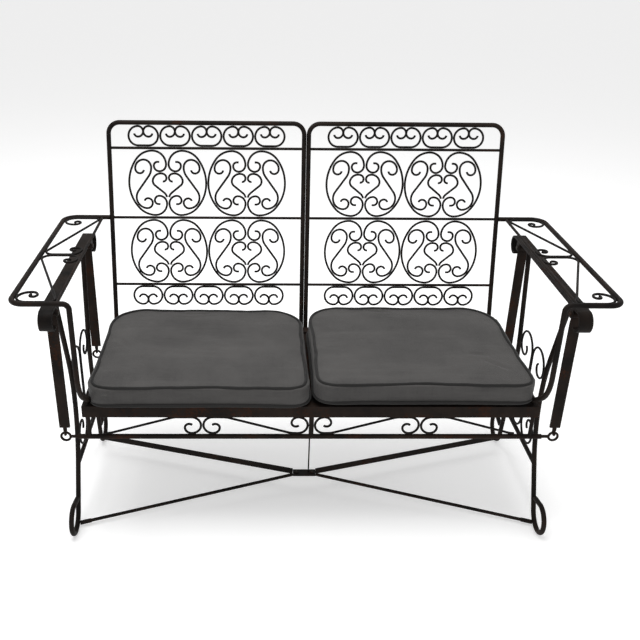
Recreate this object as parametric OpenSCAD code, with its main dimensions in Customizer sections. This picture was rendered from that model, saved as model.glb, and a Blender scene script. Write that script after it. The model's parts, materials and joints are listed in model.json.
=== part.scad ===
// Two-seat wrought-iron porch glider.
// The seat, back and arms hang from a fixed stand on four flat hangers and swing fore and aft.
// X runs to the sitter's left, Y to the back, Z up. The floor is at Z = 0.
// In the names, left and right are as seen from the front.

/* [Seat and back] */
// Half the width between the outer back posts, to their centres
back_half_w = 550; // [530:1:570]
// Height of the middle back rail, which the arms share
arm_h = 698; // [690:1:710]
// Height of the seat frame's top
seat_h = 387; // [380:1:392]
// Lean of the back from upright, in degrees
recline = 11.5; // [9:0.5:13]
// Distance between the back rails, along the back
rail_gap = 194; // [188:1:198]
// Distance from the upper rail to the top tube, along the back
crest_gap = 69; // [66:1:72]

/* [Arms] */
// Distance from the centre to the arm's outer rail
arm_out_x = 682; // [678:1:686]
// Distance from the centre to the arm's inner rail
arm_in_x = 577; // [575:1:579]

/* [Stand] */
// Distance from the centre to each end frame
stand_x = 613; // [609:1:616]
// Height of the flat top bars' upper face
top_bar_h = 663; // [655:1:670]
// Height of the hanger pins
pin_h = 640; // [636:1:644]
// Width of the flat top bars
top_bar_w = 32; // [30:1:34]

/* [Glide] */
// Front-to-back place of the front hangers and the front lower bar
front_y = -239; // [-244:1:-234]
// Front-to-back place of the rear hangers and the rear lower bar
rear_y = 189; // [186:1:194]
// Height of the lower bars and their end rings
ring_h = 296; // [290:1:300]
// Width of the hangers
hanger_w = 26; // [24:1:28]

/* [Stock] */
// Diameter of the tube in the back frames and the arms
tube_d = 12.7; // [12:0.1:13]
// Diameter of the legs
leg_d = 13; // [12:0.5:14]
// Diameter of the back rails and the arms' inner rails
rail_d = 7.5; // [7:0.5:8]
// Diameter of the scroll rods
rod_d = 6; // [5:0.5:6]
// Side of the angle bars in the seat frame
angle_w = 31; // [30:1:32]
// Wall of the angle bars
angle_t = 4; // [3:0.5:5]

/* [Cushions] */
// Thickness of each cushion at its edges
cushion_t = 58; // [50:1:75]
// Width of each cushion
cushion_w = 536; // [520:1:536]

/* [Hidden] */
$fn = 32;
air = 0.2;                       // gap between pieces that are welded or rest on each other
back_y = 265;                    // the back's plane at the middle rail
arm_front_y = -317;              // the arms' front rail
top_bar_t = 6;
top_bar_z = top_bar_h - top_bar_t;
roll_r = 26;                     // outer radius of the top bars' rolled ends
roll_offset = 34;                // from a hanger pin to the middle of the roll beside it
pin_d = 8;
pin_clear = 0.06;                // running clearance, on the radius
eye_d = 17;
eye_w = 24;
lug_t = 3;
hanger_t = 5;
hanger_bottom = ring_h + 27;
ring_r = 11.5;                   // to the middle of the ring's wire
ring_wire = 6.2;
link_z = ring_h + ring_r;        // the hanger hooks turn on the top of the rings
hook_wire = 5;
hook_r = 6.6;
seat_front_y = front_y - 6;      // the front face of the seat frame
seat_rear_y = 188.5;
seat_half_w = 566;
side_rail_z = seat_h - angle_w;
bar_d = tube_d;
bar_top = ring_h + bar_d / 2;
post_x = 553;                    // the short corner posts between the seat frame and the lower bars
stretcher_z = 36;                // the middle of the X between the feet
side_stretcher_z = 152;
side_stretcher_d = 12;
crossing_y = -44;
plate_half = 32;                 // half the length of the plate at the crossing
arm_rail_z = arm_h;
inner_post_x = tube_d / 2 + air;
panel_mid = (back_half_w + inner_post_x) / 2;
outer_c_x = 108.7;               // from a medallion's middle to its outer C
ornament_k = rail_gap / 194;     // the back's scrolls keep their shape as the rails move apart

// ---- bent rods -------------------------------------------------------------------------
// A rod is a list of steps. A step [radius, turn] is an arc that turns left for a positive
// number of degrees and right for a negative one. A step [length, 0] is straight.
// Between the ends of a rod the turns are quarter turns and these angles, which come from the
// 3-4-5 triangle and have short sines and cosines, so the ends of the steps meet exactly.
turn_16 = 90 - 2 * atan2(3, 4);
turn_21 = 3 * atan2(3, 4) - 90;
turn_33 = 180 - 4 * atan2(3, 4);
turn_37 = atan2(3, 4);
turn_41 = 6 * atan2(3, 4) - 180;
turn_49 = 90 - turn_41;
turn_53 = 90 - turn_37;
turn_57 = 90 - turn_33;
turn_69 = 90 - turn_21;
turn_74 = 90 - turn_16;

// Puts what follows at the end of a step, facing the way the rod runs there
module after(step) {
    side = sign(step[1]);
    if (side == 0)
        translate([step[0], 0, 0]) children();
    else
        translate([0, side * step[0], 0]) rotate([0, 0, step[1]]) translate([0, -side * step[0], 0]) children();
}

module arc(d, r, turn) {
    translate([0, r, 0]) rotate([0, 0, -90]) rotate_extrude(angle = turn) translate([r, 0]) circle(d = d);
}

// One step from the origin, along X. An arc that isn't a quarter turn is drawn long and cut square
module rod_step(d, step, side, last) {
    r = step[0];
    turn = abs(step[1]);
    spare_turn = 4;
    if (turn == 0)
        rotate([-90 * side, 0, 0]) rotate([0, 90, 0]) cylinder(d = d, h = r);
    else if (step[1] < 0)
        mirror([0, 1, 0]) rod_step(d, [r, turn], side, last);
    else if (turn % 90 == 0 || last)
        arc(d, r, turn);
    else difference() {
        arc(d, r, turn + spare_turn);
        after(step) translate([0, -d, -d]) cube([r + d, 2 * d, 2 * d]);
    }
}

module rod_from(d, steps, side, i = 0) {
    last = i == len(steps) - 1;
    here = steps[i][1] == 0 ? side : sign(steps[i][1]);
    rod_step(d, steps[i], side, last);
    if (!last) after(steps[i]) rod_from(d, steps, here, i + 1);
}

// A rod from a start of [x, y, heading]
module bent_rod(d, start, steps) {
    translate([start[0], start[1], 0]) rotate([0, 0, start[2]]) rod_from(d, steps, 1);
}

// A rod drawn both ways from one point
module two_way_rod(d, start, onward, backward) {
    translate([start[0], start[1], 0]) rotate([0, 0, start[2]]) {
        rod_from(d, onward, 1);
        rotate([0, 0, 180]) rod_from(d, backward, 1);
    }
}

function scaled(steps, k) = [for (s = steps) [s[0] * k, s[1]]];

module mirror_x(also = true) {
    children();
    if (also) mirror([1, 0, 0]) children();
}

// Lays a flat drawing's x along Y and its y along Z, at the given X
module side_plane(x) {
    translate([x, 0, 0]) rotate([90, 0, 90]) children();
}

// Lays a flat drawing's y along the leaning back, from the middle rail
module back_plane() {
    translate([0, back_y, arm_h]) rotate([90 - recline, 0, 0]) children();
}

// Puts a piece drawn for the +X end at the -X end too
module at_side(side) {
    if (side < 0) mirror([1, 0, 0]) children();
    else children();
}

// ---- stand -----------------------------------------------------------------------------

// One rolled end, facing forward
module bar_roll() {
    roll_turn = 205;
    translate([stand_x - top_bar_w / 2, 0, top_bar_h - roll_r]) rotate([0, 90, 0]) rotate([0, 0, 180])
        rotate_extrude(angle = roll_turn) translate([roll_r - top_bar_t, 0]) square([top_bar_t, top_bar_w]);
}

module top_bar(side) {
    front = front_y - roll_offset;
    rear = rear_y + roll_offset;
    color("#2a2420") at_side(side) {
        translate([stand_x - top_bar_w / 2, front, top_bar_z]) cube([top_bar_w, rear - front, top_bar_t]);
        translate([0, front, 0]) bar_roll();
        translate([0, rear, 0]) mirror([0, 1, 0]) bar_roll();
    }
}

// A leg falls straight, bends through its waist, falls straight again and curls into a foot.
// top_slope is the angle of its straight top to the floor
module leg(side, top_y, top_slope, straight, bend_r, bend, heel, close) {
    heel_r = 48;
    foot_r = 38;
    low_slope = top_slope - bend;
    foot_slope = low_slope - heel;
    fall = straight * sin(top_slope) + bend_r * (cos(low_slope) - cos(top_slope));
    heel_z = leg_d / 2 + heel_r * (cos(foot_slope) - cos(low_slope)) + foot_r * (1 - cos(foot_slope));
    run = (top_bar_z - air - fall - heel_z) / sin(low_slope);
    color("#2b2622") at_side(side) side_plane(stand_x)
        bent_rod(leg_d, [top_y, top_bar_z - air, -top_slope],
            [[straight, 0], [bend_r, bend], [run, 0], [heel_r, heel], [foot_r, 180], [foot_r, turn_21], [close, 0]]);
}

// The front leg is drawn facing back, then turned to face forward
module front_leg(side) {
    mirror([0, 1, 0]) leg(side, 198, 107.2, 205, 437, turn_41, turn_57, 38);
}

module rear_leg(side) {
    leg(side, 135.8, 98.1, 231, 585, turn_16, turn_74, 27);
}

// Two ears under a top bar at each hanger
module lug_pair(y) {
    for (face = [-1, 1])
        translate([stand_x + face * (eye_w / 2 + 0.5 + lug_t / 2), y, pin_h]) rotate([0, 90, 0])
            translate([0, 0, -lug_t / 2]) difference() {
                union() {
                    cylinder(d = 20, h = lug_t);
                    translate([-(top_bar_z - air - pin_h), -10, 0]) cube([top_bar_z - air - pin_h, 20, lug_t]);
                }
                translate([0, 0, -1]) cylinder(d = pin_d, h = lug_t + 2);
            }
}

module hanger_lugs() {
    color("#2a2420") mirror_x() for (y = [front_y, rear_y]) lug_pair(y);
}

module hanger_pins() {
    pin_l = eye_w + 2 * lug_t + 1;
    head_d = 13;
    head_h = 2.5;
    color("#4a4038") mirror_x() for (y = [front_y, rear_y])
        translate([stand_x - pin_l / 2, y, pin_h]) rotate([0, 90, 0]) {
            cylinder(d = pin_d, h = pin_l);
            translate([0, 0, -head_h]) cylinder(d = head_d, h = head_h);
            translate([0, 0, pin_l]) cylinder(d = head_d, h = head_h);
        }
}

// A low rod from leg to leg in each end frame
module side_stretcher(side) {
    front = -150.5;
    rear = 108.5;
    color("#2b2622") at_side(side) translate([stand_x, front, side_stretcher_z]) rotate([-90, 0, 0])
        cylinder(d = side_stretcher_d, h = rear - front);
}

// Two C-scrolls back to back, standing on the side stretcher
module side_scrolls(side) {
    big_r = 45;
    low = side_stretcher_z + side_stretcher_d / 2 + rod_d / 2 + air;
    high = 450;
    mid_y = -13.8;
    stem = (high - low) / 2 - big_r;
    curl = [[stem, 0], [big_r, -180], [29, -90], [20, -90], [13, -60]];
    uncurl = [[stem, 0], [big_r, 180], [29, 90], [20, 90], [13, 60]];
    color("#241f1c") at_side(side) side_plane(stand_x) translate([mid_y, (low + high) / 2])
        mirror_x() two_way_rod(rod_d, [rod_d / 2 + air / 2, 0, 90], curl, uncurl);
}

// Where an arm of the X-shaped stretcher meets its foot
function stretcher_end(y) = [stand_x - leg_d / 2 - 4, y];

// A round bar that falls from the crossing to the heel of the front foot, and ends flat
module front_stretcher(side) {
    end = stretcher_end(-228);
    end_z = 12.5;
    start = [plate_half + 1, crossing_y - 8];
    run = norm(end - start);
    drop = atan2(stretcher_z - end_z, run);
    length = norm([run, stretcher_z - end_z]);
    flat_l = 26;
    color("#2b2622") at_side(side) translate([start[0], start[1], stretcher_z])
        rotate([0, 0, atan2(end[1] - start[1], end[0] - start[0])]) rotate([0, drop, 0]) {
            rotate([0, 90, 0]) cylinder(d = 9, h = length);
            translate([length - flat_l, -6, -2.5]) cube([flat_l + 4, 12, 5]);
        }
}

module rear_stretcher(side) {
    end = stretcher_end(134);
    start = [plate_half + 1, crossing_y + 8];
    run = norm(end - start);
    color("#2a2420") at_side(side) translate([start[0], start[1], stretcher_z])
        rotate([0, 0, atan2(end[1] - start[1], end[0] - start[0])])
            translate([0, -2.5, -8]) cube([run + 4, 5, 16]);
}

rivet_x = 22;

module crossing_plate() {
    plate_w = 26;
    plate_t = 5;
    color("#2a2420") difference() {
        translate([-plate_half, crossing_y - plate_w / 2, stretcher_z - plate_t / 2])
            cube([2 * plate_half, plate_w, plate_t]);
        for (x = [-rivet_x, rivet_x]) translate([x, crossing_y, stretcher_z - plate_t]) cylinder(d = 6, h = 2 * plate_t);
    }
}

module crossing_rivets() {
    head_d = 11;
    head_h = 3;
    color("#3c332c") for (x = [-rivet_x, rivet_x]) translate([x, crossing_y, stretcher_z - 2.5]) {
        cylinder(d = 6, h = 5);
        translate([0, 0, 5]) cylinder(d = head_d, h = head_h);
        translate([0, 0, -head_h]) cylinder(d = head_d, h = head_h);
    }
}

// A thin upright wire from the crossing, with a hooked top
module centre_stay() {
    foot = stretcher_z + 2.5 + air;
    color("#241f1c") translate([12, crossing_y + 2, foot]) rotate([90, 0, 0])
        bent_rod(4, [0, 0, 90], [[262, 0], [9, -200]]);
}

// ---- hangers ---------------------------------------------------------------------------

module hanger(side, y) {
    neck_z = pin_h - 18;
    color("#2c2622") at_side(side) {
        difference() {
            union() {
                translate([stand_x - eye_w / 2, y, pin_h]) rotate([0, 90, 0]) cylinder(d = eye_d, h = eye_w);
                translate([stand_x - eye_w / 2, y - hanger_t / 2, neck_z]) cube([eye_w, hanger_t, pin_h - neck_z]);
                translate([stand_x - hanger_w / 2, y - hanger_t / 2, hanger_bottom])
                    cube([hanger_w, hanger_t, neck_z - hanger_bottom]);
                translate([stand_x - 4.5, y - hanger_t / 2, link_z + hook_r - 1])
                    cube([9, hanger_t, hanger_bottom - link_z - hook_r + 1]);
            }
            translate([stand_x - eye_w, y, pin_h]) rotate([0, 90, 0])
                cylinder(r = pin_d / 2 + pin_clear, h = 2 * eye_w);
        }
        side_plane(stand_x) translate([y, link_z]) rotate([0, 0, 60])
            rotate_extrude(angle = 300) translate([hook_r, 0]) circle(d = hook_wire);
    }
}

// ---- back ------------------------------------------------------------------------------

// Heights along the back, measured from the middle rail
crest_v = rail_gap + crest_gap;
post_low_v = -(arm_h - side_rail_z - 3) / cos(recline);
row_h = crest_gap - rail_d / 2 - tube_d / 2 - 2 * air;   // height of the rows of C-scrolls

// An upturned U of tube
module back_frame(side) {
    corner_r = 31;
    rise = crest_v - post_low_v - corner_r;
    span = back_half_w - inner_post_x - 2 * corner_r;
    color("#26211e") at_side(side) back_plane()
        bent_rod(tube_d, [back_half_w, post_low_v, 90],
            [[rise, 0], [corner_r, 90], [span, 0], [corner_r, 90], [rise, 0]]);
}

module back_rails(side) {
    low = inner_post_x + tube_d / 2 + air;
    high = back_half_w - tube_d / 2 - air;
    color("#241f1c") at_side(side) back_plane() for (v = [rail_gap, 0, -rail_gap])
        bent_rod(rail_d, [low, v, 0], [[high - low, 0]]);
}

// A row of five C-scrolls, flat side down, between v_low and v_high
module scroll_row(v_low, v_high) {
    r = (v_high - v_low - rod_d) / 2;
    k = r / 26;
    flat = 14.5 * k;
    half = [[flat, 0], [r, 180], [14.2 * k, 180], [10.5 * k, 80]];
    pitch = 2 * (flat + r) + rod_d + air;
    for (i = [-2 : 2]) translate([panel_mid + i * pitch, v_low + rod_d / 2])
        mirror_x() bent_rod(rod_d, [0, 0, 0], half);
}

module crest_scrolls(side) {
    color("#241f1c") at_side(side) back_plane()
        scroll_row(rail_gap + rail_d / 2 + air, rail_gap + rail_d / 2 + air + row_h);
}

module foot_scrolls(side) {
    top = -rail_gap - rail_d / 2 - air;
    color("#241f1c") at_side(side) back_plane()
        translate([0, top]) mirror([0, 1, 0]) scroll_row(0, row_h);
}

// Half of an oval medallion: a tall outer C, an S inside it and half a heart
module medallion_half(k) {
    over = [[113.5, -turn_37], [55.5, -turn_53], [38, -90], [19, -90], [15.5, -90], [10.5, -90], [5, 0]];
    under = [[105, turn_41], [61.5, turn_49], [33, 90], [21.5, 90], [13, 90], [10.5, 90], [5, 0]];
    s_up = [[20.5, 0], [40, turn_41], [21, 90], [24, 90], [13, 90], [11, 75]];
    s_down = [[29.5, 0], [33, turn_33], [30.5, 90], [15.5, 90], [13, 90], [10.5, 75]];
    heart = [[20.5, turn_41], [33, 0], [16, -turn_69], [23.5, -90], [12, -90], [9, -80]];
    two_way_rod(rod_d, [-outer_c_x * k, 0, 90], scaled(over, k), scaled(under, k));
    two_way_rod(rod_d, [-65.5 * k, 2.6 * k, 54], scaled(s_up, k), scaled(s_down, k));
    bent_rod(rod_d, [-3.2 * k, -39.5 * k, 100], scaled(heart, k));
}

module medallions(side, row) {
    k = ornament_k * 0.995;
    half_w = outer_c_x * k + rod_d / 2 + air / 2;
    mid_v = rail_gap * (row - 0.5);
    color("#241f1c") at_side(side) back_plane() for (place = [-1, 1])
        translate([panel_mid + place * half_w, mid_v]) mirror_x() medallion_half(k);
}

// ---- arms ------------------------------------------------------------------------------

// The tube leaves the back post, runs round the arm and bends down to the seat's front corner
module arm_frame(side) {
    rear_r = 36;
    front_r = 30;
    drop_r = 14;
    knee_r = 100;
    start_x = back_half_w + tube_d / 2 + air;
    out = arm_out_x - start_x - rear_r;
    long = back_y - arm_front_y - rear_r - front_r;
    in = arm_out_x - front_r - back_half_w - drop_r;
    knee_z = 512;
    color("#26211e") at_side(side) {
        translate([0, 0, arm_rail_z]) bent_rod(tube_d, [start_x, back_y, 0],
            [[out, 0], [rear_r, -90], [long, 0], [front_r, -90], [in, 0]]);
        translate([0, arm_front_y, 0]) rotate([90, 0, 0])
            bent_rod(tube_d, [back_half_w + drop_r, arm_rail_z, 180], [[drop_r, 90]]);
        side_plane(back_half_w) bent_rod(tube_d, [arm_front_y, arm_rail_z - drop_r, -90],
            [[arm_rail_z - drop_r - knee_z, 0], [knee_r, turn_53],
             [52, 0], [40, -20]]);
    }
}

module arm_rail(side) {
    low = arm_front_y + tube_d / 2 + air;
    high = back_y - tube_d / 2 - air;
    color("#2c2622") at_side(side) translate([arm_in_x, low, arm_rail_z]) rotate([-90, 0, 0])
        cylinder(d = rail_d, h = high - low);
}

// Two S-scrolls that mirror each other about the middle of the arm. Each fills half its length:
// the two corner radii take up what the slanting middle leaves
module arm_scrolls(side) {
    inner = arm_in_x + rail_d / 2 + rod_d / 2 + air;
    outer = arm_out_x - tube_d / 2 - rod_d / 2 - air;
    across = outer - inner;
    mid_y = (back_y + arm_front_y) / 2;
    slope = 90 + turn_21;
    start_y = rod_d / 2 + air / 2;
    reach = (back_y - arm_front_y - tube_d - rod_d) / 2 - air - start_y;
    both_r = (reach + across * tan(slope)) / (1 - cos(slope) + (1 - sin(slope)) * tan(slope));
    bend_r = 0.58 * both_r;
    corner_r = both_r - bend_r;
    diagonal = (across - both_r * (1 - sin(slope))) / -cos(slope);
    curl_r = 27;
    outward = [[across / 2 - bend_r, 0], [bend_r, slope], [diagonal, 0], [corner_r, -slope],
        [across - corner_r - curl_r, 0], [curl_r, -180], [16, -90], [9.5, -90], [7, -150]];
    inward = [[across / 2 - 27, 0], [27, -90], [19, -90], [11.5, -90], [7.5, -150]];
    color("#241f1c") at_side(side) translate([(outer + inner) / 2, mid_y, arm_rail_z]) for (end = [0, 1])
        mirror([0, end, 0]) two_way_rod(rod_d, [0, start_y, 0], outward, inward);
}

// ---- seat frame ------------------------------------------------------------------------

// An angle bar across the seat, its upright face outward
module cross_angle(outer_y, inward) {
    upright_y = inward > 0 ? outer_y : outer_y - angle_t;
    flange_y = inward > 0 ? outer_y : outer_y - angle_w;
    translate([-seat_half_w, upright_y, side_rail_z]) cube([2 * seat_half_w, angle_t, angle_w]);
    translate([-seat_half_w + angle_t + air, flange_y, seat_h - angle_t])
        cube([2 * (seat_half_w - angle_t - air), angle_w, angle_t]);
}

module front_seat_rail() {
    color("#3a2c24") cross_angle(seat_front_y, 1);
}

module rear_seat_rail() {
    color("#2a2420") cross_angle(seat_rear_y, -1);
}

module side_seat_rail(side) {
    low = seat_front_y + angle_t + air;
    high = seat_rear_y - angle_t - air;
    flange = angle_w - angle_t;
    color("#2a2420") at_side(side) {
        translate([seat_half_w - angle_t, low, side_rail_z]) cube([angle_t, high - low, angle_w]);
        translate([seat_half_w - angle_w, low + flange, seat_h - angle_t])
            cube([angle_w, high - low - 2 * flange, angle_t]);
    }
}

module centre_seat_bar() {
    low = seat_front_y + angle_t + air;
    high = seat_rear_y - angle_t - air;
    color("#2a2420") translate([-angle_w / 2, low, seat_h - 2 * angle_t - air])
        cube([angle_w, high - low, angle_t]);
}

// Thin steel bands that carry the cushions
module deck_bands() {
    low = seat_front_y + 8;
    high = seat_rear_y - 8;
    color("#2f2823") for (side = [-1, 1], i = [0 : 3])
        translate([side * (80 + i * 130) - 12.5, low, seat_h + air]) cube([25, high - low, 2]);
}

// A bar with a ring welded to each end, which the hangers hook through
module lower_bar(y) {
    neck = 16;
    full = stand_x - ring_r - ring_wire / 2 - neck;
    color("#33271f") {
        translate([-full, y, ring_h]) rotate([0, 90, 0]) cylinder(d = bar_d, h = 2 * full);
        mirror_x() {
            translate([full - 1, y, ring_h]) rotate([0, 90, 0]) cylinder(d = 8, h = neck + 2);
            translate([stand_x, y, ring_h]) rotate([90, 0, 0]) rotate_extrude()
                translate([ring_r, 0]) circle(d = ring_wire);
        }
    }
}

// Short posts between the seat frame and a lower bar
module lower_posts(y) {
    top = side_rail_z - air;
    low = ring_h + 2;
    color("#2a2420") mirror_x() difference() {
        translate([post_x, y, low]) cylinder(d = 10, h = top - low);
        translate([0, y, ring_h]) rotate([0, 90, 0]) cylinder(d = bar_d + 2 * air, h = 2 * stand_x);
    }
    color("#2a2420") difference() {
        translate([-6, y - 2.5, low]) cube([12, 5, top - low]);
        translate([-50, y, ring_h]) rotate([0, 90, 0]) cylinder(d = bar_d + 2 * air, h = 100);
    }
}

// Scrolls between the front seat rail and the front lower bar
module apron_scrolls(side) {
    low = bar_top + air + rod_d / 2;
    high = side_rail_z - air - rod_d / 2;
    r = (high - low) / 2;
    pair_x = 272;
    gap_x = r + rod_d / 2 + air / 2;
    ramp = turn_16;
    ramp_r = 60;
    ramp_l = (2 * r - 2 * ramp_r * (1 - cos(ramp))) / sin(ramp);
    ramp_run = 2 * ramp_r * sin(ramp) + ramp_l * cos(ramp);
    curl = [[r, -180], [r * 0.7, -90], [r * 0.46, -130]];
    uncurl = [[r, 180], [r * 0.7, 90], [r * 0.46, 130]];
    centre_x = 6 + air + rod_d / 2 + r;
    flat = pair_x - gap_x - centre_x - ramp_run;
    color("#241f1c") at_side(side) translate([0, front_y, 0]) rotate([90, 0, 0]) {
        translate([pair_x + gap_x, high]) two_way_rod(rod_d, [0, 0, 180],
            uncurl, [[34, 0], [ramp_r, -ramp], [ramp_l, 0], [ramp_r, ramp]]);
        translate([pair_x - gap_x, high]) bent_rod(rod_d, [0, 0, 0], curl);
        translate([pair_x - gap_x, high]) bent_rod(rod_d, [0, 0, 180],
            [[flat * 0.75, 0], [ramp_r, ramp], [ramp_l, 0], [ramp_r, -ramp], [flat * 0.25, 0],
             [r, -180], [r * 0.7, -90], [r * 0.46, -130]]);
    }
}

// ---- cushions --------------------------------------------------------------------------

cushion_front = seat_front_y - 10;
cushion_rear = 193;
cushion_gap = 5;                 // from the middle of the settee to a cushion

// A square with small front corners and large rear ones
module cushion_outline() {
    depth = cushion_rear - cushion_front;
    front_r = 34;
    rear_r = 88;
    translate([0, front_r]) square([cushion_w, depth - front_r - rear_r]);
    translate([front_r, 0]) square([cushion_w - 2 * front_r, front_r + 1]);
    translate([rear_r, depth - rear_r - 1]) square([cushion_w - 2 * rear_r, rear_r + 1]);
    for (x = [front_r, cushion_w - front_r]) translate([x, front_r]) circle(r = front_r);
    for (x = [rear_r, cushion_w - rear_r]) translate([x, depth - rear_r]) circle(r = rear_r);
}

module cushion(side) {
    color("#4b4a4b") at_side(side) translate([cushion_gap, cushion_front, seat_h + 3])
        linear_extrude(cushion_t) cushion_outline();
}

top_bar(-1);  // left_top_bar
top_bar(1);  // right_top_bar
hanger_lugs();
hanger_pins();
front_leg(-1);  // front_left_leg
front_leg(1);  // front_right_leg
rear_leg(-1);  // rear_left_leg
rear_leg(1);  // rear_right_leg
side_stretcher(-1);  // left_side_stretcher
side_stretcher(1);  // right_side_stretcher
side_scrolls(-1);  // left_side_scrolls
side_scrolls(1);  // right_side_scrolls
front_stretcher(-1);  // front_left_stretcher
front_stretcher(1);  // front_right_stretcher
rear_stretcher(-1);  // rear_left_stretcher
rear_stretcher(1);  // rear_right_stretcher
crossing_plate();
crossing_rivets();
centre_stay();
hanger(-1, front_y);  // front_left_hanger
hanger(1, front_y);  // front_right_hanger
hanger(-1, rear_y);  // rear_left_hanger
hanger(1, rear_y);  // rear_right_hanger
back_frame(-1);  // left_back_frame
back_frame(1);  // right_back_frame
back_rails(-1);  // left_back_rails
back_rails(1);  // right_back_rails
crest_scrolls(-1);  // left_crest_scrolls
crest_scrolls(1);  // right_crest_scrolls
medallions(-1, 1);  // left_upper_medallions
medallions(1, 1);  // right_upper_medallions
medallions(-1, 0);  // left_lower_medallions
medallions(1, 0);  // right_lower_medallions
foot_scrolls(-1);  // left_foot_scrolls
foot_scrolls(1);  // right_foot_scrolls
arm_frame(-1);  // left_arm_frame
arm_frame(1);  // right_arm_frame
arm_rail(-1);  // left_arm_rail
arm_rail(1);  // right_arm_rail
arm_scrolls(-1);  // left_arm_scrolls
arm_scrolls(1);  // right_arm_scrolls
front_seat_rail();
rear_seat_rail();
side_seat_rail(-1);  // left_seat_rail
side_seat_rail(1);  // right_seat_rail
centre_seat_bar();
deck_bands();
lower_bar(front_y);  // front_lower_bar
lower_bar(rear_y);  // rear_lower_bar
lower_posts(front_y);  // front_posts
lower_posts(rear_y);  // rear_posts
apron_scrolls(-1);  // left_apron_scrolls
apron_scrolls(1);  // right_apron_scrolls
cushion(-1);  // left_cushion
cushion(1);  // right_cushion
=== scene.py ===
import json
import math

import bmesh
import bpy
from mathutils import Matrix, Vector, noise

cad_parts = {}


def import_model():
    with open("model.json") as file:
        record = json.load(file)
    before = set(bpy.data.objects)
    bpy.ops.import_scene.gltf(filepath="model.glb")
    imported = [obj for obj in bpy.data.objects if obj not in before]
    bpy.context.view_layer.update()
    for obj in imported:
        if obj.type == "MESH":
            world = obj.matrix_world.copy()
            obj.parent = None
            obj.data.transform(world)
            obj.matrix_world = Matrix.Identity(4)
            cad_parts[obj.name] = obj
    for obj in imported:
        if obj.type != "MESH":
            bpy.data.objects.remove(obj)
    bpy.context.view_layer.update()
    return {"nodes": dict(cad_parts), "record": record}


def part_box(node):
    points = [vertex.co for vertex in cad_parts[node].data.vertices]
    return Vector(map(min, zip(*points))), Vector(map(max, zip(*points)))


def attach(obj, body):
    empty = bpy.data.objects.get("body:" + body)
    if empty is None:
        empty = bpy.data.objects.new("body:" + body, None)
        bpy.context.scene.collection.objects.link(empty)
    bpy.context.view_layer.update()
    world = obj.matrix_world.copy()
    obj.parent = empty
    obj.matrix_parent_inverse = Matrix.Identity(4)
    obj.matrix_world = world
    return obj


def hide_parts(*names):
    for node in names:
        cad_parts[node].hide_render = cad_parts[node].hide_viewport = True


# A two-seat wrought-iron porch glider: the CAD iron keeps its shape and gets old paint and rust,
# and the two plain CAD cushions are replaced with filled, piped ones. Lengths are in metres.

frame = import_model()
NODES = frame["nodes"]

# ---- materials --------------------------------------------------------------------------


def shade(color, k):
    """The same hue, k times as bright."""
    return tuple(c * k for c in color)


class Graph:
    """A short way to write a material's nodes."""

    def __init__(self, name):
        self.mat = bpy.data.materials.new(name)
        self.mat.use_nodes = True
        self.tree = self.mat.node_tree
        self.tree.nodes.clear()
        out = self.add("ShaderNodeOutputMaterial")
        self.bsdf = self.add("ShaderNodeBsdfPrincipled")
        self.link(self.bsdf.outputs[0], out.inputs[0])
        self.place = self.add("ShaderNodeTexCoord").outputs["Object"]

    def add(self, kind, **values):
        node = self.tree.nodes.new(kind)
        for key, value in values.items():
            setattr(node, key, value)
        return node

    def link(self, a, b):
        self.tree.links.new(a, b)

    def feed(self, node, socket, value):
        """Links an output, or sets a number or a colour."""
        if hasattr(value, "links"):
            self.link(value, node.inputs[socket])
        elif isinstance(value, tuple):
            node.inputs[socket].default_value = (*value, 1)
        else:
            node.inputs[socket].default_value = value

    def noise(self, scale, detail, rough=0.55, stretch=None):
        vector = self.place
        if stretch:
            m = self.add("ShaderNodeMapping")
            self.link(vector, m.inputs["Vector"])
            m.inputs["Scale"].default_value = stretch
            vector = m.outputs[0]
        n = self.add("ShaderNodeTexNoise")
        self.link(vector, n.inputs["Vector"])
        n.inputs["Scale"].default_value = scale
        n.inputs["Detail"].default_value = detail
        n.inputs["Roughness"].default_value = rough
        return n.outputs["Fac"]

    def ramp(self, fac, start, end, top=1.0):
        """0 below start, rising to top at end."""
        r = self.add("ShaderNodeValToRGB")
        self.link(fac, r.inputs[0])
        low, high = r.color_ramp.elements
        low.position, low.color = start, (0, 0, 0, 1)
        high.position, high.color = end, (top, top, top, 1)
        return r.outputs[0]

    def mix(self, fac, a, b):
        m = self.add("ShaderNodeMix", data_type="RGBA")
        factor, color_a, color_b, color_out = 0, 6, 7, 2
        self.feed(m, factor, fac)
        self.feed(m, color_a, a)
        self.feed(m, color_b, b)
        return m.outputs[color_out]

    def math(self, how, a, b=0.0):
        m = self.add("ShaderNodeMath", operation=how)
        self.feed(m, 0, a)
        self.feed(m, 1, b)
        return m.outputs[0]

    def bump(self, height, strength, distance, after=None):
        b = self.add("ShaderNodeBump")
        self.link(height, b.inputs["Height"])
        b.inputs["Strength"].default_value = strength
        b.inputs["Distance"].default_value = distance
        if after is not None:
            self.link(after, b.inputs["Normal"])
        return b.outputs[0]

    def finish(self, color, rough, normal=None, **more):
        self.feed(self.bsdf, "Base Color", color)
        self.feed(self.bsdf, "Roughness", rough)
        if normal is not None:
            self.link(normal, self.bsdf.inputs["Normal"])
        for key, value in more.items():
            self.feed(self.bsdf, key.replace("_", " "), value)
        return self.mat


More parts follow.
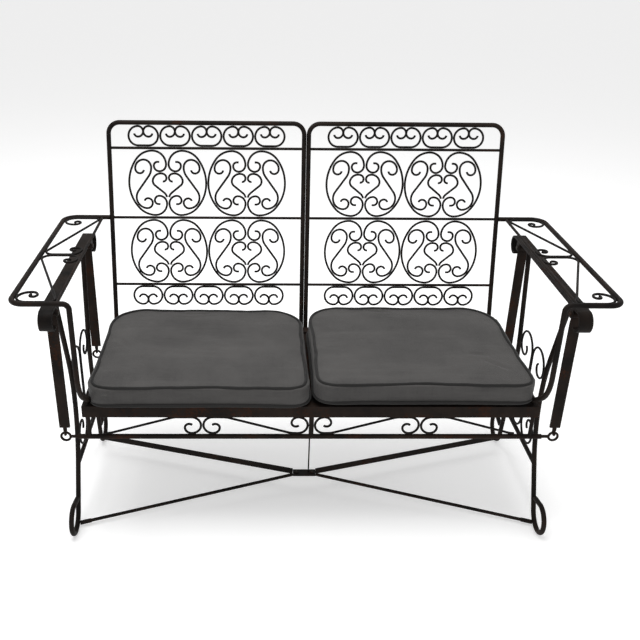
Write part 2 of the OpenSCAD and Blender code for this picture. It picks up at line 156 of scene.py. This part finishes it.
def iron(name, dark, light, rust, rust_from, paint_rough):
    """Old painted iron: brushed-on dark paint, worn and rusting in patches."""
    rust_rough = 0.86
    rust_edge = 0.09
    g = Graph(name)
    broad = g.noise(14, 4)
    fine = g.noise(160, 5, 0.65)
    grit = g.noise(900, 2, 0.7)
    paint = g.mix(g.ramp(broad, 0.35, 0.7), dark, light)
    patch = g.math("ADD", g.math("MULTIPLY", g.noise(9, 3, 0.6), 0.6), g.math("MULTIPLY", fine, 0.4))
    rusty = g.ramp(patch, rust_from, rust_from + rust_edge)
    rust_tone = g.mix(g.noise(60, 4), rust, shade(rust, 0.45))
    color = g.mix(rusty, paint, rust_tone)
    specks = g.ramp(g.noise(420, 2, 0.5), 0.70, 0.76)
    color = g.mix(g.math("MULTIPLY", specks, 0.30), color, shade(light, 2.2))
    broad_rough = g.mix(rusty, (paint_rough,) * 3, (rust_rough,) * 3)
    rough = g.math("ADD", g.math("MULTIPLY", fine, 0.22), broad_rough)
    pitted = g.bump(fine, 0.35, 0.0006)
    normal = g.bump(grit, 0.30, 0.00025, pitted)
    return g.finish(color, rough, normal, Metallic=0.0, Specular_IOR_Level=0.10)


def cloth(name, dark, light):
    """A tightly woven cover with slubs, streaks and scuffs, and a faint sheen."""
    thread = 0.0011
    g = Graph(name)
    split = g.add("ShaderNodeSeparateXYZ")
    g.link(g.place, split.inputs[0])
    turns = 2 * math.pi / thread
    warp = g.math("SINE", g.math("MULTIPLY", split.outputs[0], turns))
    weft = g.math("SINE", g.math("MULTIPLY", g.math("ADD", split.outputs[1], split.outputs[2]), turns))
    weave = g.math("MULTIPLY", warp, weft)
    slub_x = g.noise(60, 2, 0.5, (0.12, 2.4, 2.4))
    slub_y = g.noise(60, 2, 0.5, (2.4, 0.12, 0.12))
    slubs = g.math("ADD", slub_x, slub_y)
    cloudy = g.noise(7, 4, 0.6)
    color = g.mix(g.ramp(cloudy, 0.3, 0.75), dark, light)
    color = g.mix(g.ramp(slubs, 0.85, 1.0, 0.16), color, shade(light, 1.25))
    streaks = g.ramp(g.noise(9, 5, 0.7, (0.35, 2.6, 2.6)), 0.46, 0.74, 0.55)
    color = g.mix(streaks, color, shade(light, 1.22))
    scuffs = g.ramp(g.noise(34, 4, 0.6, (0.5, 1.6, 1.6)), 0.68, 0.76, 0.45)
    color = g.mix(scuffs, color, shade(light, 1.5))
    fuzz = g.ramp(g.noise(300, 3, 0.7), 0.60, 0.82, 0.22)
    color = g.mix(fuzz, color, shade(light, 1.8))
    rough = g.math("ADD", g.math("MULTIPLY", slubs, 0.12), 0.55)
    soft = g.bump(cloudy, 0.25, 0.004)
    threads = g.bump(weave, 0.35, 0.00022, soft)
    normal = g.bump(slubs, 0.25, 0.0005, threads)
    return g.finish(color, rough, normal, Sheen_Weight=0.07, Sheen_Roughness=0.45, Specular_IOR_Level=0.20)


def floor_paint():
    """Pale paint with a little light of its own, so that it stays white far from the lamps."""
    pale = (0.80, 0.80, 0.80)
    glow = 0.37
    g = Graph("floor paint")
    tone = g.mix(g.noise(3, 3), pale, shade(pale, 0.985))
    return g.finish(tone, 0.8, Emission_Color=(1, 1, 1), Emission_Strength=glow)


COVER = cloth("cushion cover", (0.036, 0.0345, 0.0335), (0.060, 0.0575, 0.0555))
PIPING = cloth("piping", (0.0070, 0.0067, 0.0065), (0.0115, 0.0110, 0.0105))

# Each slot's dark paint, worn paint, rust, how rare the rust is and how dull the paint is
LOOKS = {
    "weathered_iron": iron("frame iron", (0.0036, 0.0027, 0.0023), (0.0150, 0.0098, 0.0072),
                           (0.034, 0.0150, 0.0090), 0.57, 0.50),
    "black_scrollwork": iron("scroll iron", (0.0030, 0.0025, 0.0023), (0.0090, 0.0066, 0.0054),
                             (0.022, 0.0110, 0.0075), 0.62, 0.46),
    "rusty_iron": iron("rusty iron", (0.0046, 0.0032, 0.0026), (0.0185, 0.0112, 0.0078),
                       (0.042, 0.0175, 0.0100), 0.53, 0.56),
    "worn_steel": iron("worn steel", (0.012, 0.0095, 0.0080), (0.030, 0.022, 0.017),
                       (0.040, 0.018, 0.010), 0.50, 0.45),
    "cushion_fabric": COVER,
}
for part in frame["record"]["subparts"]:
    materials = NODES[part["node"]].data.materials
    materials.clear()
    materials.append(LOOKS[part["material_slot"]])

# ---- making pieces ----------------------------------------------------------------------


def from_bmesh(name, bm, material, smooth=True):
    mesh = bpy.data.meshes.new(name)
    bm.to_mesh(mesh)
    bm.free()
    for p in mesh.polygons:
        p.use_smooth = smooth
    mesh.materials.append(material)
    o = bpy.data.objects.new(name, mesh)
    bpy.context.scene.collection.objects.link(o)
    return o


def skin_between(bm, rings, closed):
    """Faces between rings of points, and from the last ring to the first if closed."""
    following = rings[1:] + rings[:1] if closed else rings[1:]
    for a, b in zip(rings, following):
        n = len(a)
        for k in range(n):
            bm.faces.new((a[k], a[(k + 1) % n], b[(k + 1) % n], b[k]))


def closed_tube(bm, points, radius):
    """Adds a round tube to bm along a closed, nearly level line. radius takes how far round it is."""
    sides = 10
    rings = []
    count = len(points)
    for i, p in enumerate(points):
        along = (points[(i + 1) % count] - points[i - 1]).normalized()
        side = along.cross(Vector((0, 0, 1))).normalized()
        top = side.cross(along).normalized()
        r = radius(i / count)
        turns = [2 * math.pi * k / sides for k in range(sides)]
        rings.append([bm.verts.new(p + (side * math.cos(a) + top * math.sin(a)) * r) for a in turns])
    skin_between(bm, rings, closed=True)
    bmesh.ops.recalc_face_normals(bm, faces=bm.faces)


def apply_modifiers(o):
    dg = bpy.context.evaluated_depsgraph_get()
    dg.update()
    mesh = bpy.data.meshes.new_from_object(o.evaluated_get(dg), depsgraph=dg)
    o.modifiers.clear()
    old, o.data = o.data, mesh
    bpy.data.meshes.remove(old)


def remesh(o, size):
    m = o.modifiers.new("remesh", "REMESH")
    m.mode = "VOXEL"
    m.voxel_size = size
    apply_modifiers(o)


# ---- a cushion's sewn case --------------------------------------------------------------

SEAM_TOP = 0.052                    # heights of the two welts above the cushion's underside
SEAM_LOW = 0.0055
PIPE_R = 0.0042
FRONT_R, REAR_R = 0.046, 0.105      # corners, seen from above
CASE_INSET = 0.003                  # from the outline in to the unfilled case
VOXEL, QUICK_VOXEL = 0.0055, 0.012  # sizes of the case's remeshed faces
TOP_FROM = 0.9                      # the part of the welt's height above which a point is on top


def swell(side, lo, hi):
    """The sewn case's outline box: it fills the gap in the middle and reaches past the arm post."""
    outer, inner, front = 0.013, 0.0028, 0.006
    lo, hi = lo.copy(), hi.copy()
    left = side == "left"
    lo.x -= outer if left else inner
    hi.x += inner if left else outer
    lo.y -= front
    return lo, hi


def outline(lo, hi, inset):
    """The cushion's edge seen from above, anticlockwise from the front left corner."""
    steps = 14
    x0, y0, x1, y1 = lo.x + inset, lo.y + inset, hi.x - inset, hi.y - inset
    corners = [(x0, y0, FRONT_R, 180), (x1, y0, FRONT_R, 270), (x1, y1, REAR_R, 0), (x0, y1, REAR_R, 90)]
    loop = []
    for x, y, r, start in corners:
        r -= inset
        cx = x + (r if x == x0 else -r)
        cy = y + (r if y == y0 else -r)
        for k in range(steps + 1):
            a = math.radians(start + 90 * k / steps)
            loop.append(Vector((cx + r * math.cos(a), cy + r * math.sin(a), 0)))
    return loop


def spread(loop, spacing):
    """The same closed line in equal steps."""
    lengths = [(loop[(i + 1) % len(loop)] - p).length for i, p in enumerate(loop)]
    total = sum(lengths)
    count = round(total / spacing)
    out, i, gone = [], 0, 0.0
    for k in range(count):
        want = total * k / count
        while gone + lengths[i] < want:
            gone += lengths[i]
            i += 1
        out.append(loop[i].lerp(loop[(i + 1) % len(loop)], (want - gone) / lengths[i]))
    return out


def across(p, lo, hi):
    """Where p lies between the sides and between the front and back, each from -1 to 1."""
    return (p.x - lo.x) / (hi.x - lo.x) * 2 - 1, (p.y - lo.y) / (hi.y - lo.y) * 2 - 1


def pulled(p, lo, hi):
    """Pulls each side in a little between its corners, as sewn edges are."""
    corner, side_pull, end_pull = 0.8, 0.0035, 0.0045
    u, v = across(p, lo, hi)
    q = p.copy()
    if abs(u) > corner:
        q.x -= math.copysign(side_pull * max(0.0, 1 - (v / corner) ** 2), u)
    if abs(v) > corner:
        q.y -= math.copysign(end_pull * max(0.0, 1 - (u / corner) ** 2), v)
    return q


def sewn_case(name, lo, hi):
    """A boxed cushion before it is filled: flat panels and a straight side band."""
    rows, spacing = 7, 0.012
    bm = bmesh.new()
    loop = [pulled(p, lo, hi) for p in spread(outline(lo, hi, CASE_INSET), spacing)]
    levels = [lo.z + SEAM_TOP * r / (rows - 1) for r in range(rows)]
    rings = [[bm.verts.new((p.x, p.y, z)) for p in loop] for z in levels]
    skin_between(bm, rings, closed=False)
    bm.faces.new(list(reversed(rings[0])))
    bm.faces.new(rings[-1])
    bmesh.ops.recalc_face_normals(bm, faces=bm.faces)
    return from_bmesh(name, bm, COVER)


def to_edge(p, lo, hi):
    """How far p is inside the outline, seen from above."""
    x = min(p.x - lo.x, hi.x - p.x)
    y = min(p.y - lo.y, hi.y - p.y)
    r = REAR_R if p.y > (lo.y + hi.y) / 2 else FRONT_R
    if x < r and y < r:
        return r - math.hypot(r - x, r - y)
    return min(x, y)


def crown(p, lo, hi):
    """How much of the full crown stands at p: none at the welt, all of it in the middle."""
    u, v = across(p, lo, hi)
    return max(0.0, 1 - abs(u) ** 3.4) * max(0.0, 1 - abs(v) ** 3.0)


# ---- filling and dressing it ------------------------------------------------------------


def hold_seams(o, lo, hi):
    """Cloth pins: the underside stays on the deck, and the seams give only a little."""
    under_height, under_inset = 0.003, 0.02
    seam_height, seam_depth, seam_grip = 0.005, 0.011, 0.75
    hold = o.vertex_groups.new(name="hold")
    for v in o.data.vertices:
        edge = to_edge(v.co, lo, hi)
        seam = min(abs(v.co.z - lo.z), abs(v.co.z - lo.z - SEAM_TOP))
        if v.co.z < lo.z + under_height and edge > under_inset:
            hold.add([v.index], 1.0, "REPLACE")
        elif edge < seam_depth and seam < seam_height:
            hold.add([v.index], seam_grip, "REPLACE")
    return hold.name


def fill(o, lo, hi):
    """Blows the case up as cloth under pressure, and then caps how far each point went."""
    frames, cap = 20, 0.028
    start = [v.co.copy() for v in o.data.vertices]
    held = hold_seams(o, lo, hi)
    c = o.modifiers.new("cloth", "CLOTH")
    s = c.settings
    s.quality = 5
    s.mass = 0.35
    s.tension_stiffness = s.compression_stiffness = 24
    s.shear_stiffness = 12
    s.bending_stiffness = 1.2
    s.tension_damping = s.compression_damping = 12
    s.shear_damping = 10
    s.use_pressure = True
    s.uniform_pressure_force = 4.0
    s.effector_weights.gravity = 0
    s.vertex_group_mass = held
    scene = bpy.context.scene
    scene.frame_start, scene.frame_end = 1, frames
    c.point_cache.frame_start, c.point_cache.frame_end = 1, frames
    for f in range(1, frames + 1):
        scene.frame_set(f)
    apply_modifiers(o)
    scene.frame_set(1)
    for v, was in zip(o.data.vertices, start):
        d = v.co - was
        if d.length > cap:
            v.co = was + d.normalized() * cap
        v.co.z = max(v.co.z, lo.z)


def crease(p, a, b, width, depth):
    """A soft fold from a to b across the top: a groove with a low ridge beside it."""
    ab, ap = b - a, p - a
    t = max(0.0, min(1.0, (ap.x * ab.x + ap.y * ab.y) / (ab.x ** 2 + ab.y ** 2)))
    d = math.hypot(ap.x - ab.x * t, ap.y - ab.y * t)
    fade = math.sin(math.pi * (t * 0.9 + 0.05))
    ridge_height, ridge_place = 0.45, 1.9
    groove = math.exp(-(d / width) ** 2)
    ridge = ridge_height * math.exp(-((d - width * ridge_place) / width) ** 2)
    return depth * fade * (groove - ridge)


def outward(p, lo, hi):
    """The level direction from the cushion's middle to p."""
    centre = (lo + hi) / 2
    return Vector((p.x - centre.x, p.y - centre.y, 0)).normalized()


def dress(o, lo, hi, seed, folds):
    """Slack and wear in the filled cover: soft dents, short pulls from the welt and a few folds."""
    dent_h, dimple_h, ripple_h, slack_h = 0.0034, 0.0013, 0.0009, 0.0016
    pull_inset, pull_width = 0.024, 0.016
    rim, band_from = 0.02, 0.12
    for v in o.data.vertices:
        p = v.co
        up = (p.z - lo.z) / SEAM_TOP
        edge = to_edge(p, lo, hi)
        if up > TOP_FROM:
            dent = noise.noise(Vector((p.x * 5.5 + seed, p.y * 5.5, seed))) * dent_h
            dimple = noise.noise(Vector((p.x * 15, p.y * 15, seed * 3))) * dimple_h
            pull = math.exp(-((edge - pull_inset) / pull_width) ** 2)
            ripple = noise.noise(Vector((p.x * 42, p.y * 42, seed))) * ripple_h * pull
            creased = sum(crease(p, *f) for f in folds) * min(1.0, edge / rim)
            p.z += (dent + dimple) * crown(p, lo, hi) + ripple - creased
        elif up > band_from and edge < rim:
            slack = noise.noise(Vector((p.x * 16, p.y * 16, p.z * 9 + seed)))
            v.co = p + outward(p, lo, hi) * slack * slack_h * math.sin(math.pi * min(1.0, up))


def lift_edges(o, lo, hi, lift):
    """Raises the case on its filled underside, which keeps resting on the deck in the middle."""
    near = 0.004
    for v in o.data.vertices:
        under = v.co.z < lo.z + near and to_edge(v.co, lo, hi) > near
        resting = min(1.0, 1.5 * crown(v.co, lo, hi)) if under else 0.0
        v.co.z += lift * (1 - resting)


# An arm's front post beside the cushion: x to either side, then y and z at its two ends
POST_X = 0.550
POST_FOOT, POST_HEAD = (-0.226, 0.388), (-0.292, 0.474)
COVER_ROOM, WELT_ROOM = 0.0085, 0.0075  # from the post's middle line to the cover and the piping


def keep_clear(o, side, room):
    """Presses the cover in where the arm's post stands against it, room from the middle of the post."""
    sign = -1 if side == "left" else 1
    foot, head = (Vector((sign * POST_X, *end)) for end in (POST_FOOT, POST_HEAD))
    run = head - foot
    blend = 0.010
    reach = room + blend
    for v in o.data.vertices:
        t = max(0.0, min(1.0, (v.co - foot).dot(run) / run.length_squared))
        near = foot + run * t
        away = v.co - near
        inward = sign * (near.x - v.co.x)
        flat = math.hypot(away.y, away.z)
        if flat < reach and inward < reach:
            want = room * math.sqrt(max(0.0, 1 - (flat / reach) ** 2))
            if inward < want:
                v.co.x = near.x - sign * want


def make_cushion(side, lo, hi, seed, folds, lift):
    """The filled cushion. It stands for the plain CAD one."""
    o = sewn_case("case_" + side, lo, hi)
    remesh(o, VOXEL)
    fill(o, lo, hi)
    dress(o, lo, hi, seed, folds)
    lift_edges(o, lo, hi, lift)
    keep_clear(o, side, COVER_ROOM)
    o.data.polygons.foreach_set("use_smooth", [True] * len(o.data.polygons))
    sub = o.modifiers.new("smooth", "SUBSURF")
    sub.levels = sub.render_levels = 1
    apply_modifiers(o)
    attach(o, "seat")
    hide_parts(side + "_cushion")
    return o


def skin_at(o, p, lo, hi):
    """The point of the cushion's skin straight in from p towards its middle."""
    well_outside = 0.08
    away = outward(p, lo, hi)
    hit, where, _, _ = o.ray_cast(p + away * well_outside, -away)
    return where.copy() if hit else p


def welt_line(o, lo, hi, height, seed):
    """A level line round the cushion's skin, evened out and then a little wavy."""
    inset, spacing, sewn_out = 0.001, 0.006, PIPE_R * 0.6
    wave_h, stitch_h = 0.0009, 0.0004
    line = [Vector((p.x, p.y, height)) for p in spread(outline(lo, hi, inset), spacing)]
    skin = [skin_at(o, p, lo, hi) for p in line]
    near = range(-4, 5)
    out = []
    for i in range(len(skin)):
        s = sum((skin[(i + k) % len(skin)] for k in near), Vector()) / len(near)
        wave = noise.noise(Vector((s.x * 7, s.y * 7, seed))) * wave_h
        stitch = noise.noise(s * 45) * stitch_h
        out.append(s + outward(s, lo, hi) * sewn_out + Vector((0, 0, wave + stitch)))
    return out


def make_piping(o, side, lo, hi, seed, lift):
    """Round welts sewn along the top and bottom edges."""
    unevenness = 0.06

    def radius(t):
        return PIPE_R * (1 + unevenness * noise.noise(Vector((t * 90, seed, 0))))

    bm = bmesh.new()
    for level in (SEAM_LOW, SEAM_TOP):
        line = welt_line(o, lo, hi, lo.z + level + lift, seed)
        closed_tube(bm, line, radius)
    welt = from_bmesh("piping_" + side, bm, PIPING)
    keep_clear(welt, side, WELT_ROOM)
    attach(welt, "seat")


def fold(start, end, width, depth):
    return Vector((*start, 0)), Vector((*end, 0)), width, depth


# Where each cover has creased, its noise seed, and how far its edges stand off the deck
CUSHIONS = {
    "left": ([fold((-0.36, 0.150), (-0.24, 0.165), 0.007, 0.0022),
              fold((-0.52, 0.02), (-0.47, -0.06), 0.008, 0.0018)], 3.7, 0.0015),
    "right": ([fold((0.18, 0.165), (0.245, 0.150), 0.007, 0.0030),
               fold((0.44, -0.13), (0.50, -0.18), 0.006, 0.0035),
               fold((0.40, -0.10), (0.47, -0.11), 0.007, 0.0020)], 8.1, 0.0105),
}
for side, (folds, seed, lift) in CUSHIONS.items():
    lo, hi = swell(side, *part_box(side + "_cushion"))
    cushion = make_cushion(side, lo, hi, seed, folds, lift)
    make_piping(cushion, side, lo, hi, seed, lift)

# ---- room, light and camera -------------------------------------------------------------


def floor():
    bm = bmesh.new()
    bmesh.ops.create_grid(bm, x_segments=1, y_segments=1, size=60)
    from_bmesh("floor", bm, floor_paint(), smooth=False)


def area_light(name, place, aim, size, power):
    data = bpy.data.lights.new(name, "AREA")
    data.shape = "RECTANGLE"
    data.size, data.size_y = size
    data.energy = power
    o = bpy.data.objects.new(name, data)
    o.location = place
    o.rotation_mode = "QUATERNION"
    o.rotation_quaternion = (Vector(aim) - Vector(place)).to_track_quat("-Z", "Y")
    bpy.context.scene.collection.objects.link(o)


def world():
    """A white room that is dimmer overhead, where the lamps are."""
    bright_to, dim_from, dim = 0.22, 0.50, 0.52
    w = bpy.data.worlds.new("studio")
    w.use_nodes = True
    tree = w.node_tree
    sky = tree.nodes["Background"]
    split = tree.nodes.new("ShaderNodeSeparateXYZ")
    ramp = tree.nodes.new("ShaderNodeValToRGB")
    tree.links.new(tree.nodes.new("ShaderNodeTexCoord").outputs["Generated"], split.inputs[0])
    tree.links.new(split.outputs["Z"], ramp.inputs[0])
    tree.links.new(ramp.outputs[0], sky.inputs[0])
    low, high = ramp.color_ramp.elements
    low.position, low.color = bright_to, (1, 1, 1, 1)
    high.position, high.color = dim_from, (dim, dim, dim, 1)
    sky.inputs[1].default_value = 1.0
    bpy.context.scene.world = w


def camera():
    """The main view: from the front, a little left of the middle, looking down at the seat."""
    place = (-0.134, -1.913, 1.449)
    yaw, pitch, roll = (math.radians(a) for a in (1.2, 26.0, 0.7))
    forward = Vector((math.sin(yaw) * math.cos(pitch), math.cos(yaw) * math.cos(pitch), -math.sin(pitch)))
    right = Vector((math.cos(yaw), -math.sin(yaw), 0))
    up = right.cross(forward)
    tilted_right = right * math.cos(roll) + up * math.sin(roll)
    tilted_up = tilted_right.cross(forward)
    data = bpy.data.cameras.new("camera")
    data.lens = 45
    data.sensor_width = 36
    data.shift_x = 0.0734
    data.shift_y = -0.00625
    o = bpy.data.objects.new("camera", data)
    turn = Matrix((tilted_right, tilted_up, -forward)).transposed()
    o.matrix_world = Matrix.Translation(place) @ turn.to_4x4()
    bpy.context.scene.collection.objects.link(o)
    bpy.context.scene.camera = o


floor()
world()
area_light("key", (-0.5, -0.2, 3.4), (0, 0, 0.3), (2.0, 2.0), 88)
area_light("fill", (2.4, -1.8, 2.2), (0, 0, 0.4), (2.0, 2.0), 6)
area_light("back", (0.3, 2.4, 2.8), (0, 0, 0.5), (3.0, 1.5), 14)
camera()
bpy.context.scene.view_settings.view_transform = "Standard"
